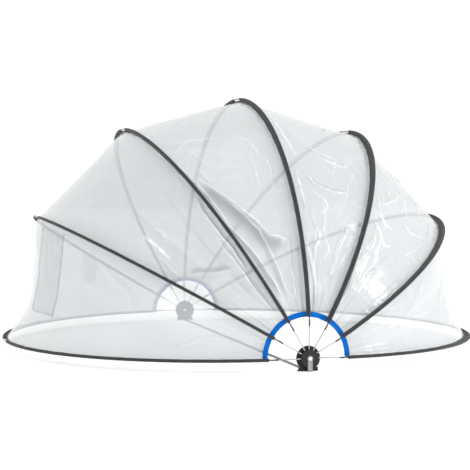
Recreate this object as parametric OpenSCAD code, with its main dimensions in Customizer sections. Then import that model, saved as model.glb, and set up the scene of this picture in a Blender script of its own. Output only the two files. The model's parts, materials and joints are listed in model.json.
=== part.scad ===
// Folding pool dome: seven half hoops fan out from two hubs and carry six clear film panels.
// The origin lies on the ground, midway between the hubs. +X points at the fixed ground hoop,
// +Z points up, and the pivot line of all the hoops runs along Y through the two hubs.

/* [Dome] */
// Half the distance between the two hub pivots
hub_half = 2320; // [1700:10:2900]
// Length that a hoop runs straight out of the hub before it curves
straight_run = 110; // [60:10:200]
// How far the bend of the hoops stands out beyond the hubs
bend_out = 20; // [0:5:30]
// Height of the hub pivots over the ground
pivot_h = 118; // [117:1:150]
// Sag of the two ground hoops below the pivots, in degrees
ground_sag = 0.5; // [0:0.1:0.8]

/* [Hoops] */
// Diameter of the fibre glass rods
rod_d = 12; // [10:0.5:13]
// Rod sections in each hoop, an even number
rod_sections = 8; // [6:2:10]
// Distance from the pivot at which the rods begin
rod_start = 290; // [270:5:300]
// Outer diameter of the ferrules that join the rods
ferrule_d = 16; // [15:0.5:17]
// Length of the ferrule that shows at the top of each hoop
crown_ferrule = 240; // [160:10:280]
// Length of each hidden ferrule
side_ferrule = 110; // [80:10:140]

/* [Fabric sleeves] */
// Distance from the pivot at which the sleeves begin
sleeve_start = 378; // [370:2:400]
// Outer diameter of the rod pocket
pocket_d = 31; // [26:1:32]
// Width of the flat band sewn to the inside of the pocket, along the sides of a hoop
band_w = 67; // [60:1:75]
// How much narrower the band is at the top of a hoop
crown_taper = 40; // [0:1:50]
// Thickness of the flat band
band_t = 3; // [2:0.5:4]
// Length of pocket left open at the top of each hoop
crown_gap = 250; // [150:10:320]

/* [Film] */
// Thickness of the clear film
film_t = 0.5; // [0.3:0.1:1]
// Inward sag of the film between hoops, halfway up
film_sag = 0; // [0:5:60]
// Inward sag of the panel above the fixed ground hoop, two thirds of the way down
fixed_skirt_sag = 50; // [0:5:150]
// The same of the panel with the door, above the other ground hoop
door_skirt_sag = 105; // [0:5:150]
// Inner radius of the bound edge around each hub
binding_r = 366; // [330:2:370]
// Width of the bound edge
binding_w = 50; // [36:1:50]

/* [Hubs] */
// Radius of the hub base disc
base_r = 112; // [100:1:114]
// Radius of the hub cap disc
cap_r = 82; // [70:1:90]
// Diameter of the pivot bolt
bolt_d = 12; // [10:1:14]
// Diameter of the steel spokes
spoke_d = 8; // [7:0.5:8.5]
// Spacing of the spoke eyes along the bolt
eye_pitch = 5; // [5:0.5:6]
// Half width of the flat foot under each hub
foot_half = 92; // [80:2:100]

/* [Ground tie] */
// Width of the flat tie bar
tie_w = 45; // [36:1:48]
// Thickness of the flat tie bar
tie_t = 5; // [4:0.5:5]

/* [Hidden] */
$fn = 48;
hoops = 7;
last = hoops - 1;
per_side = ["near", "far"];

// Hoops
hoop_step = 180 / last;
bend_r = hub_half + bend_out;
rod_r = rod_d / 2;
collar_l = 30;
collar_t = 1;
bend_start = rod_start + collar_l;
rod_first = asin((bend_start - straight_run) / bend_r);
rod_reach = 180 - 2 * rod_first;
rod_gap = 2;
rod_socket = 12;
ferrule_slip = 0.05;
fit_slip = 0.06;

// Eyes of the spokes, stacked on the pivot bolt, counted outwards from the hub's own plane
eye_t = eye_pitch - 1;
eye_r = 16;
flat_w = 10;
flat_end = 122;
round_from = flat_end - 6;
stack_half = last / 2 * eye_pitch + eye_t / 2;
plate_gap = stack_half + 1;
washer_t = 0.6;
washer_r = 13;

// Hub plates
base_t = 14;
cap_t = 12;
cap_round = 5;
boss_r = 26;
boss_t = 5;
rib_t = 4;
foot_h = 34;
foot_depth = 44;
bolt_r = bolt_d / 2;
bolt_hole_r = bolt_r + 0.05;
dome_r = 18;
dome_h = 12;
nut_r = 11;
nut_t = 10;

// Ground tie
upright_out = plate_gap + cap_t + 0.5;
pad_r = 27;
tie_bend = 4;
splice_l = 220;
splice_t = 5;
rivet_r = 3;
rivet_rows = [-80, -35, 35, 80];

// Sleeves, bindings and film
pocket_r = pocket_d / 2;
pocket_bore = ferrule_d / 2 + 1;
band_tuck = 4;
sewn_gap = 0.05;
seam_w = 6;
sleeve_first = asin((sleeve_start - straight_run) / bend_r);
crown_half = crown_gap / 2 / bend_r * 180 / PI;
band_in = pocket_r + band_w - band_tuck;
film_r = bend_r - band_in + seam_w;
film_first = asin((binding_r + binding_w + 2 - straight_run) / film_r);
film_clear = band_t / 2 + 1.5;
binding_t = 3;
film_cols = 4;
skirt_cols = 8;
film_rows = 20;
sag_skew = 1.6;

// The band's inner edge follows the rod along the sides. Over the top it is a tighter arc, set
// nearer to the crown, so the band narrows there.
taper_shift = 340;
taper_r = bend_r - band_in + crown_taper - taper_shift;
function band_reach(bend) = min(
    band_in,
    bend_r - taper_shift * sin(bend) - sqrt(pow(taper_r, 2) - pow(taper_shift * cos(bend), 2))
);

// Zipped door in the panel of the left ground hoop: its share of the panel and its arc
door_cols = [0.04, 0.71];
door_rows = [70, 83];
door_lift = 12;
door_steps = 8;
door_rise = 3;
zip_w = 16;
zip_t = 1.5;
zip_gap = 0.1;

function hoop_angle(k) = k == 0 ? -ground_sag : k == last ? 180 + ground_sag : k * hoop_step;
function stack_at(k) = hub_half + (k - last / 2) * eye_pitch;
function is_skirt(k) = k == 1 || k == last;

// Lays a shape drawn in the XY plane into the plane of hoop k
module hoop_plane(k) translate([0, 0, pivot_h]) rotate([0, -hoop_angle(k), 0]) children();

// An arc of a 2D section along the bend of a hoop, from one bend angle to another.
// Bend angle 0 is at the near hub and 180 at the far one.
module along_hoop(from, to) {
    translate([straight_run, 0, 0])
    rotate([0, 0, from - 90])
    rotate_extrude(angle = to - from, $fn = 360)
    translate([bend_r, 0])
    children();
}

// Both hubs: the far one is the near one mirrored
module at_side(s) mirror([0, s == "far" ? 1 : 0, 0]) children();
module at_both_sides() for (s = per_side) at_side(s) children();

// A cylinder along Y, from one distance out from the middle of the dome to another
module bar_y(r, from, to, fn = 48) {
    translate([0, -from, 0])
    rotate([90, 0, 0])
    cylinder(r = r, h = to - from, $fn = fn);
}

// The round part of a spoke leads from its flat end on the bolt to the start of the bend
function spoke_vector(k) = [bend_start - round_from, stack_at(k) - bend_r * cos(rod_first)];
function spoke_run(k) = norm(spoke_vector(k));

// A cylinder on that line, between two distances along it
module spoke_line(k, r, from, to) {
    run = spoke_vector(k);
    translate([round_from, -stack_at(k), 0])
    rotate([0, 0, atan2(run[1], run[0])])
    translate([from, 0, 0])
    rotate([0, 90, 0])
    cylinder(r = r, h = to - from);
}

module hoop_spokes(k) color("silver")
hoop_plane(k)
at_both_sides()
difference() {
    union() {
        bar_y(eye_r, stack_at(k) - eye_t / 2, stack_at(k) + eye_t / 2);
        translate([0, -stack_at(k) - eye_t / 2, -flat_w / 2])
        cube([flat_end, eye_t, flat_w]);
        spoke_line(k, spoke_d / 2, 0, spoke_run(k) + rod_socket - 4);
    }
    bar_y(bolt_r + fit_slip, stack_at(k) - 10, stack_at(k) + 10);
}

module hoop_rods(k) color("#1b1c1e")
hoop_plane(k) {
    step = rod_reach / rod_sections;
    trim = rod_gap / 2 / bend_r * 180 / PI;
    for (i = [1 : rod_sections - 2])
        along_hoop(rod_first + i * step + trim, rod_first + (i + 1) * step - trim) circle(rod_r);
    at_both_sides()
    difference() {
        union() {
            along_hoop(rod_first, rod_first + step - trim) circle(rod_r);
            spoke_line(k, rod_r + collar_t, spoke_run(k) - collar_l, spoke_run(k) + rod_socket);
        }
        spoke_line(k, spoke_d / 2 + fit_slip, spoke_run(k) - collar_l - 5, spoke_run(k) + rod_socket - 2);
    }
}

module hoop_ferrules(k) color("#b9bcbd")
hoop_plane(k)
for (i = [1 : rod_sections - 1]) {
    crown = i == rod_sections / 2;
    half = (crown ? crown_ferrule : side_ferrule) / 2 / bend_r * 180 / PI;
    at = rod_first + i * rod_reach / rod_sections;
    along_hoop(at - half, at + half)
    difference() {
        circle(ferrule_d / 2);
        circle(rod_r + ferrule_slip);
    }
}

module sleeve_band() {
    translate([-band_in, -band_t / 2])
    square([band_in - pocket_r - sewn_gap, band_t]);
}

module sleeve_pocket() difference() {
    circle(pocket_r);
    circle(pocket_bore);
}

module hoop_sleeve(k) color("#2b2d2f")
hoop_plane(k) {
    difference() {
        along_hoop(sleeve_first, 180 - sleeve_first) sleeve_band();
        translate([straight_run + taper_shift, 0, -band_t])
        cylinder(r = taper_r, h = 2 * band_t, $fn = 360);
    }
    along_hoop(sleeve_first, 90 - crown_half) sleeve_pocket();
    along_hoop(90 + crown_half, 180 - sleeve_first) sleeve_pocket();
}

// The two bound edges of panel k, around the near and the far hub
module edge_binding(k) color("#0a64cd") {
    clear = film_clear / binding_r * 180 / PI;
    from = hoop_angle(k - 1) + clear;
    sweep = hoop_angle(k) - clear - from;
    reach = binding_r + binding_w / 2 - straight_run;
    out = sqrt(film_r * film_r - reach * reach);
    at_both_sides()
    translate([0, -out + binding_t / 2, pivot_h])
    rotate([90, 0, 0])
    rotate([0, 0, from])
    rotate_extrude(angle = sweep, $fn = 180)
    translate([binding_r, 0])
    square([binding_w, binding_t]);
}

// A point of the film of panel k: t runs from one hoop to the next, bend along the hoop
function hoop_edge(k, turn, bend, r) =
    let (u = straight_run + r * sin(bend), a = hoop_angle(k) + turn * film_clear / u * 180 / PI)
    [u * cos(a), -r * cos(bend), pivot_h + u * sin(a)];
// The skirts sag most two thirds of the way down
function sag_at(k, t) =
    k == 1 ? fixed_skirt_sag * sin(180 * pow(1 - t, sag_skew))
    : k == last ? door_skirt_sag * sin(180 * pow(t, sag_skew))
    : film_sag * 4 * t * (1 - t);
function film_point(k, t, bend, lift) =
    let (
        r = bend_r - band_reach(bend) + seam_w + lift,
        a = hoop_edge(k - 1, 1, bend, r),
        b = hoop_edge(k, -1, bend, r),
        mid = (hoop_angle(k - 1) + hoop_angle(k)) / 2,
        sag = sag_at(k, t) * sin(bend)
    )
    a * (1 - t) + b * t - sag * [cos(mid), 0, sin(mid)];

// A closed thin sheet over a patch of panel k
module film_sheet(k, cols, rows, lift, thick, nc, nr) {
    across = nc + 1;
    layer = across * (nr + 1);
    points = [
        for (side = [0, 1]) for (j = [0 : nr]) for (i = [0 : nc])
            film_point(
                k,
                cols[0] + (cols[1] - cols[0]) * i / nc,
                rows[0] + (rows[1] - rows[0]) * j / nr,
                lift + side * thick
            )
    ];
    skin = [
        for (j = [0 : nr - 1]) for (i = [0 : nc - 1])
            let (a = j * across + i, b = a + 1, c = a + across, d = c + 1)
            each [[a, c, b], [b, c, d], [a + layer, b + layer, c + layer], [b + layer, d + layer, c + layer]]
    ];
    rim = concat(
        [for (i = [0 : nc]) i],
        [for (j = [1 : nr]) j * across + nc],
        [for (i = [1 : nc]) nr * across + nc - i],
        [for (j = [1 : nr - 1]) (nr - j) * across]
    );
    n = len(rim);
    wall = [
        for (i = [0 : n - 1])
            let (a = rim[i], b = rim[(i + 1) % n])
            each [[a, b, a + layer], [b, b + layer, a + layer]]
    ];
    polyhedron(concat(points), concat(skin, wall));
}

module film_panel(k) color("#dfe6ea", 0.35) {
    cols = is_skirt(k) ? skirt_cols : film_cols;
    film_sheet(k, [0, 1], [film_first, 180 - film_first], 0, film_t, cols, film_rows);
}

module door_flap() color("#cfd6da", 0.5)
film_sheet(last, door_cols, door_rows, door_lift, film_t, door_steps, door_rise);

module door_zip() color("#8b9196") {
    across = zip_w / film_r * 180 / PI;
    near_tape = [door_rows[0] - across - zip_gap, door_rows[0] - zip_gap];
    far_tape = [door_rows[1] + zip_gap, door_rows[1] + across + zip_gap];
    film_sheet(last, door_cols, near_tape, door_lift, zip_t, door_steps, 1);
    film_sheet(last, door_cols, far_tape, door_lift, zip_t, door_steps, 1);
    share = zip_w / (film_r * PI / 6);
    foot_tape = [door_cols[1] + 0.003, door_cols[1] + share];
    film_sheet(last, foot_tape, door_rows, door_lift, zip_t, 1, door_rise);
}

// Moulded base: a ribbed disc on a flat foot, with a slot that straddles the tie bar
module hub_base(s) color("#1d1e20")
at_side(s)
difference() {
    union() {
        translate([0, 0, pivot_h]) {
            bar_y(base_r, hub_half - plate_gap - base_t, hub_half - plate_gap, 128);
            bar_y(boss_r, hub_half - plate_gap - base_t - boss_t, hub_half - plate_gap);
        }
        translate([-foot_half, -(hub_half - plate_gap), 0])
        cube([2 * foot_half, foot_depth, foot_h / 3]);
        translate([-foot_half, -(hub_half - plate_gap), 0])
        cube([2 * foot_half, base_t, foot_h]);
        for (x = [-66, 66])
            translate([x - rib_t / 2, -(hub_half - plate_gap), 0])
            cube([rib_t, foot_depth, foot_h]);
        for (a = [30 : 30 : 330])
            translate([0, -(hub_half - plate_gap - base_t), pivot_h])
            rotate([0, a - 90, 0])
            translate([boss_r - 2, 0, -rib_t / 2])
            cube([base_r - boss_r - 8, boss_t - 1, rib_t]);
    }
    translate([0, 0, pivot_h]) bar_y(bolt_hole_r, hub_half - plate_gap - 60, hub_half);
    translate([-tie_w / 2 - 0.6, -hub_half, -1])
    cube([tie_w + 1.2, foot_depth + 40, tie_t + 1.6]);
}

// Round cap with a softened rim, a shallow groove and a flat seat for the tie
module hub_cap(s) color("#232426")
at_side(s)
translate([0, -(hub_half + plate_gap), pivot_h])
rotate([90, 0, 0])
difference() {
    rotate_extrude($fn = 128)
    difference() {
        union() {
            translate([bolt_hole_r, 0]) square([cap_r - cap_round - bolt_hole_r, cap_t]);
            translate([bolt_hole_r, 0]) square([cap_r - bolt_hole_r, cap_t - cap_round]);
            translate([cap_r - cap_round, cap_t - cap_round]) circle(cap_round);
        }
        translate([cap_r - 16, cap_t - 1.5]) square([4, 2]);
    }
    for (a = [45 : 90 : 315])
        rotate([0, 0, a])
        translate([cap_r - 30, 0, cap_t - 4])
        cylinder(r = 5, h = 5);
}

module pivot_bolt(s) color("#d5d7d9")
at_side(s)
translate([0, 0, pivot_h])
union() {
    seat = hub_half + upright_out + tie_t;
    bar_y(bolt_r, hub_half - plate_gap - base_t - boss_t - nut_t - 5, seat + 1);
    translate([0, -seat - 0.05, 0])
    rotate([90, 0, 0])
    rotate_extrude($fn = 96)
    intersection() {
        translate([0, dome_h - 20]) circle(20, $fn = 96);
        square([dome_r, dome_h]);
    }
}

module pivot_nuts() color("#a9acaf")
at_both_sides()
translate([0, 0, pivot_h])
difference() {
    seat = hub_half - plate_gap - base_t - boss_t - 0.1;
    union() {
        bar_y(nut_r, seat - nut_t - 1.5, seat - 1.5, 6);
        bar_y(nut_r + 5, seat - 1.5, seat);
    }
    bar_y(bolt_hole_r, seat - 30, seat + 10);
}

module pivot_washers() color("#9a9da0")
at_both_sides()
translate([0, 0, pivot_h])
for (i = [0 : hoops])
    difference() {
        at = hub_half + (i - 0.5 - last / 2) * eye_pitch;
        bar_y(washer_r, at - washer_t / 2, at + washer_t / 2);
        bar_y(bolt_r + 0.2, at - 5, at + 5);
    }

// Half of the ground tie, bent up at the hub to hold the pivot bolt
module tie_bar(s) color("#77797b")
at_side(s)
difference() {
    face = hub_half + upright_out;
    union() {
        translate([-tie_w / 2, -(face - tie_bend), 0])
        cube([tie_w, face - tie_bend - 0.5, tie_t]);
        translate([-tie_w / 2, -(face - tie_bend), tie_t + tie_bend])
        rotate([-90, 0, -90])
        rotate_extrude(angle = 90)
        translate([tie_bend, 0])
        square([tie_t, tie_w]);
        translate([-tie_w / 2, -(face + tie_t), tie_t + tie_bend])
        cube([tie_w, tie_t, pivot_h - tie_t - tie_bend]);
        translate([0, 0, pivot_h]) bar_y(pad_r, face, face + tie_t, 64);
    }
    translate([0, 0, pivot_h]) bar_y(bolt_hole_r, face - 5, face + tie_t + 5);
    for (y = rivet_rows) translate([0, y, -1]) cylinder(r = rivet_r, h = tie_t + 2);
}

module tie_splice() color("#6c6e70")
translate([0, 0, tie_t + 0.05])
difference() {
    translate([-tie_w / 2, -splice_l / 2, 0]) cube([tie_w, splice_l, splice_t]);
    for (y = rivet_rows) translate([0, y, -1]) cylinder(r = rivet_r, h = splice_t + 2);
}

module splice_rivets() color("#b3b5b7")
for (y = rivet_rows)
    translate([0, y, 0.3]) {
        cylinder(r = rivet_r - 0.05, h = tie_t + splice_t);
        translate([0, 0, tie_t + splice_t - 0.2]) cylinder(r1 = 6, r2 = 4, h = 3);
    }

for (k = [0 : last]) hoop_spokes(k);
for (k = [0 : last]) hoop_rods(k);
for (k = [0 : last]) hoop_ferrules(k);
for (k = [0 : last]) hoop_sleeve(k);
for (k = [1 : last]) edge_binding(k);
for (s = per_side) hub_base(s);
for (s = per_side) hub_cap(s);
for (s = per_side) pivot_bolt(s);
for (s = per_side) tie_bar(s);
pivot_nuts();
pivot_washers();
tie_splice();
splice_rivets();
door_flap();
door_zip();
for (k = [1 : last]) film_panel(k);
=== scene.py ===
"""Looks of a folding pool dome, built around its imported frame.

Seven half hoops fan out from two hubs and carry six panels of clear film. The frame holds the rods, spokes,
hubs and the ground tie. This script makes the soft goods (film, sleeves, bindings and a zipped door), dresses
every piece in a procedural finish, and sets up the floor, the lights and the camera. Lengths are in metres.
"""

import json
import logging
import math
from collections.abc import Sequence
from dataclasses import dataclass, field
from enum import Enum
from functools import cached_property

import bpy
import numpy as np
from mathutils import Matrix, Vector


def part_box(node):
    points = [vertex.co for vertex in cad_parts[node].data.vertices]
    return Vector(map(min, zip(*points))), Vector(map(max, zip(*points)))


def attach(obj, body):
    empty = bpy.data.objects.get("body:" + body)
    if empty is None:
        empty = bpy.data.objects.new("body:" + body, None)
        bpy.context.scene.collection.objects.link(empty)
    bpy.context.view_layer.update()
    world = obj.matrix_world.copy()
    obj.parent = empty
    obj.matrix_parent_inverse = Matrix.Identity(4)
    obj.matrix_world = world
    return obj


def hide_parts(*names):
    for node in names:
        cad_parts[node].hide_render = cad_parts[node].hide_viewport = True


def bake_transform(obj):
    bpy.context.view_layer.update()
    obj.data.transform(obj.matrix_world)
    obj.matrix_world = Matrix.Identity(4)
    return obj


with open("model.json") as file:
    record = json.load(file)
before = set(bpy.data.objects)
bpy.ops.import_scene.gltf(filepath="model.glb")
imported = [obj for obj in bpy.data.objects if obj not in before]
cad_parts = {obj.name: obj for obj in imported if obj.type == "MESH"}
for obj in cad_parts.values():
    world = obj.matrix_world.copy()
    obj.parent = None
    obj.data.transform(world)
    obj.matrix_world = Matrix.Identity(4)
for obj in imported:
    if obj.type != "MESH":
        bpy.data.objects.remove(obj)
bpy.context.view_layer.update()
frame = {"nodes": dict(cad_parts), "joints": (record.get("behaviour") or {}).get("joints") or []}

Array = np.ndarray
Colour = tuple[float, float, float]
log = logging.getLogger("pool_dome")


# --------------------------------------------------------------------------------------------------------------
# Shared sizes and helpers
# --------------------------------------------------------------------------------------------------------------


class Face(Enum):
    """The two faces of a hoop's flat band: towards the next hoop, or towards the one before."""

    AHEAD = 1
    BEHIND = -1


@dataclass(frozen=True)
class Dome:
    """The dome's main sizes and the shape of its hoops.

    A bend angle runs along a hoop: 0 at the near hub, 90 degrees at the top and 180 at the far hub.

    Attributes:
        pivot_h: Height of the hub pivots over the ground.
        pocket_r: Radius of the fabric pocket around each rod.
        bend_r: Radius of the rods' bend.
        straight_run: Length that a hoop runs straight out of the hub before it bends.
        ground_sag: Angle by which the two ground hoops hang below the pivots.
        hoops: Number of hoops.
        band_in: Distance from the rod's middle to the inner edge of the flat band.
        crown_taper: How much narrower the flat band is at the top of a hoop.
        taper_from: Angle from the top at which the band starts to narrow.
        seam_w: Width of the film's seam on the band.
        sleeve_start: Distance from the pivots at which the sleeves begin.
        binding_r: Inner radius of the bound edge around each hub.
        binding_w: Width of the bound edge.
    """

    pivot_h: float
    pocket_r: float
    bend_r: float
    straight_run: float = 0.110
    ground_sag: float = math.radians(0.5)
    hoops: int = 7
    band_in: float = 0.0785
    crown_taper: float = 0.040
    taper_from: float = math.radians(36.0)
    seam_w: float = 0.006
    sleeve_start: float = 0.378
    binding_r: float = 0.366
    binding_w: float = 0.050

    @classmethod
    def from_frame(cls) -> "Dome":
        """Reads the sizes that the frame's own pieces show.

        Returns:
            The dome's sizes.
        """
        pivot_h = frame["joints"][0]["pos_m"][2]
        low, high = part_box("hoop_sleeve_3")
        pocket_r = (high.x - low.x) / 2
        return cls(pivot_h=pivot_h, pocket_r=pocket_r, bend_r=high.z - pivot_h - pocket_r - cls.straight_run)

    @property
    def film_r(self) -> float:
        """Bend radius of the film's edges."""
        return self.bend_r - self.band_in + self.seam_w

    def taper(self, bend: Array) -> Array:
        """How much narrower the flat bands are at each bend angle."""
        return self.crown_taper * ease(1.0 - np.abs(bend - math.pi / 2) / self.taper_from)

    def film_edge_r(self, bend: Array) -> Array:
        """Distance of the film's edges from the middle of the bend."""
        return self.film_r + self.taper(bend)

    def body(self, hoop: int) -> str:
        """Name of the body that a hoop belongs to."""
        return f"hoop_{hoop}" if hoop else "ground_frame"

    def hoop_angle(self, hoop: int) -> float:
        """Turn of a hoop about the pivot line, in radians."""
        if hoop == 0:
            return -self.ground_sag
        if hoop == self.hoops - 1:
            return math.pi + self.ground_sag
        return hoop * math.pi / (self.hoops - 1)

    def bend_at(self, reach: float, radius: float) -> float:
        """Bend angle at which an arc of that radius is a given distance from the pivot line."""
        return math.asin((reach - self.straight_run) / radius)

    def on_hoop(self, hoop: int, bend: Array, out: Array, side: Array) -> Array:
        """Points placed by a hoop's own directions.

        Args:
            hoop: Number of the hoop.
            bend: Bend angles, in radians.
            out: Distances outwards from the rod's middle.
            side: Distances out of the hoop's plane, towards the next hoop.

        Returns:
            An array of points, with the shape of the arguments and one more axis.
        """
        turn = self.hoop_angle(hoop)
        bend, out, side = np.broadcast_arrays(bend, out, side)
        away = self.straight_run + (self.bend_r + out) * np.sin(bend)
        return np.stack(
            [
                away * math.cos(turn) - side * math.sin(turn),
                -(self.bend_r + out) * np.cos(bend),
                self.pivot_h + away * math.sin(turn) + side * math.cos(turn),
            ],
            -1,
        )


def ease(share: Array) -> Array:
    """Eases shares smoothly from 0 to 1, and holds them there."""
    share = np.clip(share, 0.0, 1.0)
    return share * share * (3.0 - 2.0 * share)


class Noise:
    """Smooth seeded noise over a plane, mostly from -1 to 1."""

    def __init__(self, seed: int, size: int = 128) -> None:
        """Draws the slopes of the noise.

        Args:
            seed: Seed of the draw.
            size: Number of cells after which the noise repeats.
        """
        angle = np.random.default_rng(seed).uniform(0.0, 2.0 * np.pi, (size, size))
        self.size = size
        self.slopes = np.stack([np.cos(angle), np.sin(angle)], -1)

    def __call__(self, x: Array, y: Array) -> Array:
        """Value of the noise at some points.

        Args:
            x: First coordinate, in cells.
            y: Second coordinate, in cells.

        Returns:
            The values.
        """
        x, y = np.broadcast_arrays(x, y)
        column, row = np.floor(x).astype(int), np.floor(y).astype(int)
        across, along = x - column, y - row

        def corner(right: int, up: int) -> Array:
            """Share of one corner's slope at every point."""
            slope = self.slopes[(column + right) % self.size, (row + up) % self.size]
            return slope[..., 0] * (across - right) + slope[..., 1] * (along - up)

        u, v = ease(across), ease(along)
        low = corner(0, 0) * (1 - u) + corner(1, 0) * u
        high = corner(0, 1) * (1 - u) + corner(1, 1) * u
        return 1.6 * (low * (1 - v) + high * v)


class Skin:
    """Collects points and faces, and makes one object of them."""

    def __init__(self) -> None:
        """Starts with nothing."""
        self.points: list[Array] = []
        self.faces: list[list[int]] = []
        self.corners: list[Array] = []
        self.slots: list[int] = []
        self.size = 0

    def grid(self, points: Array, u: Array, v: Array, wrap: bool = False, slot: int = 0) -> Array:
        """Adds a grid of four-sided faces.

        Args:
            points: Points by row and column.
            u: Distance along the piece at each row.
            v: Distance across the piece at each column, and once more at the end where the grid wraps.
            wrap: Whether the last column joins the first.
            slot: Material slot of the faces.

        Returns:
            The index of each point, by row and column.
        """
        rows, columns = points.shape[:2]
        index = self.size + np.arange(rows * columns).reshape(rows, columns)
        self.points.append(points.reshape(-1, 3))
        self.size += rows * columns
        joined = np.concatenate([index, index[:, :1]], 1) if wrap else index
        place = np.stack(np.meshgrid(u, v, indexing="ij"), -1)
        for target, source, width in ((self.faces, joined, 1), (self.corners, place, 2)):
            quads = np.stack([source[:-1, :-1], source[1:, :-1], source[1:, 1:], source[:-1, 1:]], 2)
            if width == 1:
                target.extend(quads.reshape(-1, 4).tolist())
            else:
                target.append(quads.reshape(-1, 2))
        self.slots.extend([slot] * (len(self.faces) - len(self.slots)))
        return index

    def face(self, corners: Sequence[int], slot: int = 0) -> None:
        """Adds one flat face from the indexes of its corners."""
        self.faces.append([int(i) for i in corners])
        self.corners.append(np.zeros((len(self.faces[-1]), 2)))
        self.slots.append(slot)

    def solid(self, points: Array, faces: Sequence[Sequence[int]], slot: int = 0) -> None:
        """Adds a small solid, or many alike.

        Args:
            points: Points of each solid, by solid and point.
            faces: Faces of one solid.
            slot: Material slot of the faces.
        """
        count, size = points.shape[:2]
        self.points.append(points.reshape(-1, 3))
        for i in range(count):
            for corners in faces:
                self.face([self.size + i * size + c for c in corners], slot)
        self.size += count * size

    def build(self, name: str, finishes: Sequence[bpy.types.Material], crisp: float = 180.0) -> bpy.types.Object:
        """Makes the object.

        Args:
            name: Name of the piece.
            finishes: Materials, one for each slot.
            crisp: Angle between faces above which an edge is drawn sharp, in degrees.

        Returns:
            The new object.
        """
        mesh = bpy.data.meshes.new(name)
        mesh.from_pydata(np.concatenate(self.points), [], self.faces)
        layer = mesh.uv_layers.new(name="metres")
        layer.data.foreach_set("uv", np.concatenate(self.corners).ravel().astype(np.float32))
        mesh.polygons.foreach_set("material_index", self.slots)
        mesh.shade_smooth()
        if crisp < 180.0:
            mesh.set_sharp_from_angle(angle=math.radians(crisp))
        for finish in finishes:
            mesh.materials.append(finish)
        made = bpy.data.objects.new(name, mesh)
        bpy.context.scene.collection.objects.link(made)
        return made


def report(piece: bpy.types.Object, place: str) -> None:
    """Logs a finished piece and where it belongs."""
    log.info("%s: %d faces, on %s", piece.name, len(piece.data.polygons), place)


# --------------------------------------------------------------------------------------------------------------
# Finishes
# --------------------------------------------------------------------------------------------------------------


class Graph:
    """A material's node tree, with short calls to add nodes and join them."""

    def __init__(self, name: str) -> None:
        """Makes a material with only its shader."""
        self.material = bpy.data.materials.new(name)
        self.material.use_nodes = True
        self.tree = self.material.node_tree
        self.shader = self.tree.nodes["Principled BSDF"]

    def join(self, value: object, socket: bpy.types.NodeSocket) -> None:
        """Joins another node's output to a socket, or sets the socket to a plain value."""
        if isinstance(value, bpy.types.NodeSocket):
            self.tree.links.new(value, socket)
        else:
            socket.default_value = value

    def node(self, kind: str, inputs: dict[str | int, object], **settings: object) -> bpy.types.Node:
        """Adds a node.

        Args:
            kind: Blender's name for the node, without its ShaderNode prefix.
            inputs: Values or outputs for its sockets.
            settings: Its own settings.

        Returns:
            The node.
        """
        made = self.tree.nodes.new("ShaderNode" + kind)
        for key, value in settings.items():
            setattr(made, key, value)
        for key, value in inputs.items():
            self.join(value, made.inputs[key])
        return made

    def place(self) -> bpy.types.NodeSocket:
        """Place on the object, in metres of the frame."""
        return self.node("TexCoord", {}).outputs["Object"]

    def cloth_place(self) -> bpy.types.NodeSocket:
        """Place on a sheet, in metres along and across it."""
        return self.node("UVMap", {}, uv_map="metres").outputs["UV"]

    def noise(self, place: bpy.types.NodeSocket, scale: float, detail: float = 2.0) -> bpy.types.NodeSocket:
        """Soft noise from 0 to 1."""
        inputs = {"Vector": place, "Scale": scale, "Detail": detail}
        return self.node("TexNoise", inputs).outputs["Fac"]

    def stretch(self, place: bpy.types.NodeSocket, by: Colour) -> bpy.types.NodeSocket:
        """The same place, scaled along each axis."""
        return self.node("Mapping", {"Vector": place, "Scale": by}).outputs["Vector"]

    def math(self, kind: str, *values: object) -> bpy.types.NodeSocket:
        """One sum or other operation on one or two values."""
        return self.node("Math", dict(enumerate(values)), operation=kind).outputs[0]

    def span(
        self, value: bpy.types.NodeSocket, low: float, high: float, to: tuple[float, float] = (0.0, 1.0)
    ) -> bpy.types.NodeSocket:
        """Spreads a range of values over another, and holds the ends.

        Args:
            value: What to spread.
            low: Start of its range.
            high: End of its range.
            to: The new range.

        Returns:
            The output that holds the result.
        """
        inputs = {"Value": value, "From Min": low, "From Max": high, "To Min": to[0], "To Max": to[1]}
        return self.node("MapRange", inputs).outputs["Result"]

    def mix(self, share: object, first: Colour, second: Colour) -> bpy.types.NodeSocket:
        """Blends two colours."""
        made = self.node("Mix", {"Factor": share}, data_type="RGBA")
        for socket, colour in (("A_Color", first), ("B_Color", second)):
            slot = next(s for s in made.inputs if s.identifier == socket)
            self.join(colour if isinstance(colour, bpy.types.NodeSocket) else (*colour, 1.0), slot)
        return next(s for s in made.outputs if s.identifier == "Result_Color")

    def bump(self, height: bpy.types.NodeSocket, depth: float, strength: float = 1.0) -> None:
        """Raises the surface by a height from 0 to 1, over one that is raised already."""
        normal = self.shader.inputs["Normal"]
        inputs: dict[str | int, object] = {"Height": height, "Distance": depth, "Strength": strength}
        if normal.is_linked:
            inputs["Normal"] = normal.links[0].from_socket
        self.join(self.node("Bump", inputs).outputs["Normal"], normal)

    def weave(self, place: bpy.types.NodeSocket, pitch: float, twill: bool = False) -> bpy.types.NodeSocket:
        """Height of a woven cloth's threads.

        Args:
            place: Place on the cloth, in metres.
            pitch: Distance from thread to thread.
            twill: Whether the threads cross in slanted steps.

        Returns:
            The output that holds the height, from 0 to 1.
        """
        axes = self.node("SeparateXYZ", {0: place})
        along, across = axes.outputs["X"], axes.outputs["Y"]
        if twill:
            across = self.math("ADD", along, across)
        waves = [self.math("SINE", self.math("MULTIPLY", way, math.pi / pitch)) for way in (along, across)]
        return self.span(self.math("MULTIPLY", *waves), -1.0, 1.0)


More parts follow.
